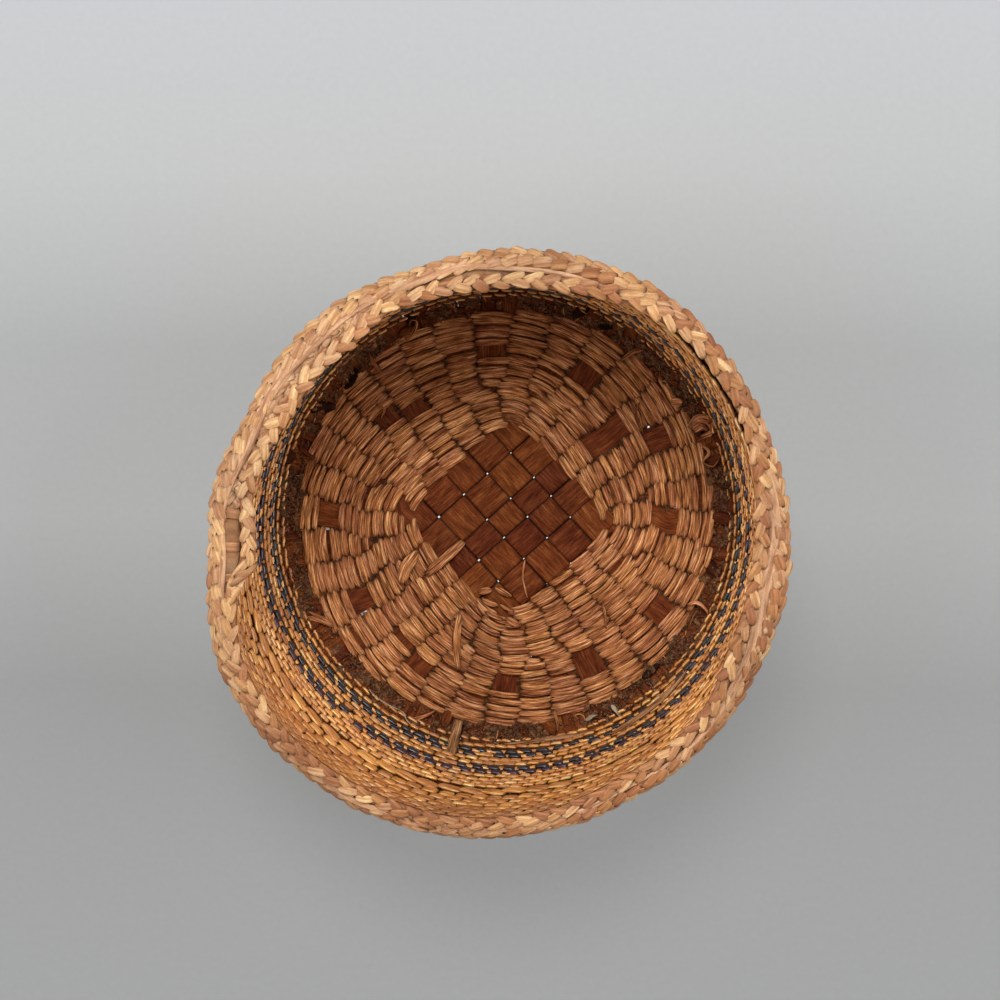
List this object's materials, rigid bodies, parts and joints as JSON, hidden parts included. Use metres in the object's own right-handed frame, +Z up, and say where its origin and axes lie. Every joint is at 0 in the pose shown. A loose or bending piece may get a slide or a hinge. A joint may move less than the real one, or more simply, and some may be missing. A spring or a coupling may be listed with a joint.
{
  "type": "twined basket",
  "caption": "Small round open basket: plaited bark centre, twined bark base, upright wall of interlaced grass rows with dyed bands, and a bound hoop under a braided rim.",
  "frame": {"origin": "middle of the underside, on the surface that the basket rests on", "axes": "+Z up along the basket's axis, out of its open mouth; +X and +Y lie along the diagonals of the plaited centre, a quarter turn apart"},
  "size_m": [0.0942, 0.0942, 0.0426],
  "materials": {
    "plaited_bark": "dry reddish-brown inner bark, fine lengthwise grain",
    "twined_bark": "dry tan fibrous bark, softly frayed",
    "gold_grass": "glossy golden grass",
    "pale_grass": "paler golden grass",
    "blue_black_grass": "blue-black dyed grass",
    "violet_black_grass": "violet-black dyed grass",
    "hoop_wood": "bare pinkish-brown split wood",
    "rim_straw": "satin tan straw"
  },
  "bodies": {
    "root": {"base_round_1_a": "twined_bark", "base_round_1_b": "twined_bark", "base_round_2_a": "twined_bark", "base_round_2_b": "twined_bark", "base_round_3_a": "twined_bark", "base_round_3_b": "twined_bark", "base_round_4_a": "twined_bark", "base_round_4_b": "twined_bark", "base_round_5_a": "twined_bark", "base_round_5_b": "twined_bark", "corner_warp_1": "plaited_bark", "corner_warp_2": "plaited_bark", "corner_warp_3": "plaited_bark", "corner_warp_4": "plaited_bark", "corner_warp_5": "plaited_bark", "corner_warp_6": "plaited_bark", "corner_warp_7": "plaited_bark", "corner_warp_8": "plaited_bark", "plaited_strip_a_1": "plaited_bark", "plaited_strip_a_2": "plaited_bark", "plaited_strip_a_3": "plaited_bark", "plaited_strip_a_4": "plaited_bark", "plaited_strip_a_5": "plaited_bark", "plaited_strip_b_1": "plaited_bark", "plaited_strip_b_2": "plaited_bark", "plaited_strip_b_3": "plaited_bark", "plaited_strip_b_4": "plaited_bark", "plaited_strip_b_5": "plaited_bark", "rim_binding": "rim_straw", "rim_braid_strand_1": "rim_straw", "rim_braid_strand_2": "rim_straw", "rim_braid_strand_3": "rim_straw", "rim_hoop": "hoop_wood", "wall_band_lower": "blue_black_grass", "wall_band_upper": "violet_black_grass", "wall_row_belly_lower": "gold_grass", "wall_row_belly_upper": "gold_grass", "wall_row_between_bands": "gold_grass", "wall_row_foot": "gold_grass", "wall_row_shoulder": "pale_grass"}
  },
  "joints": []
}
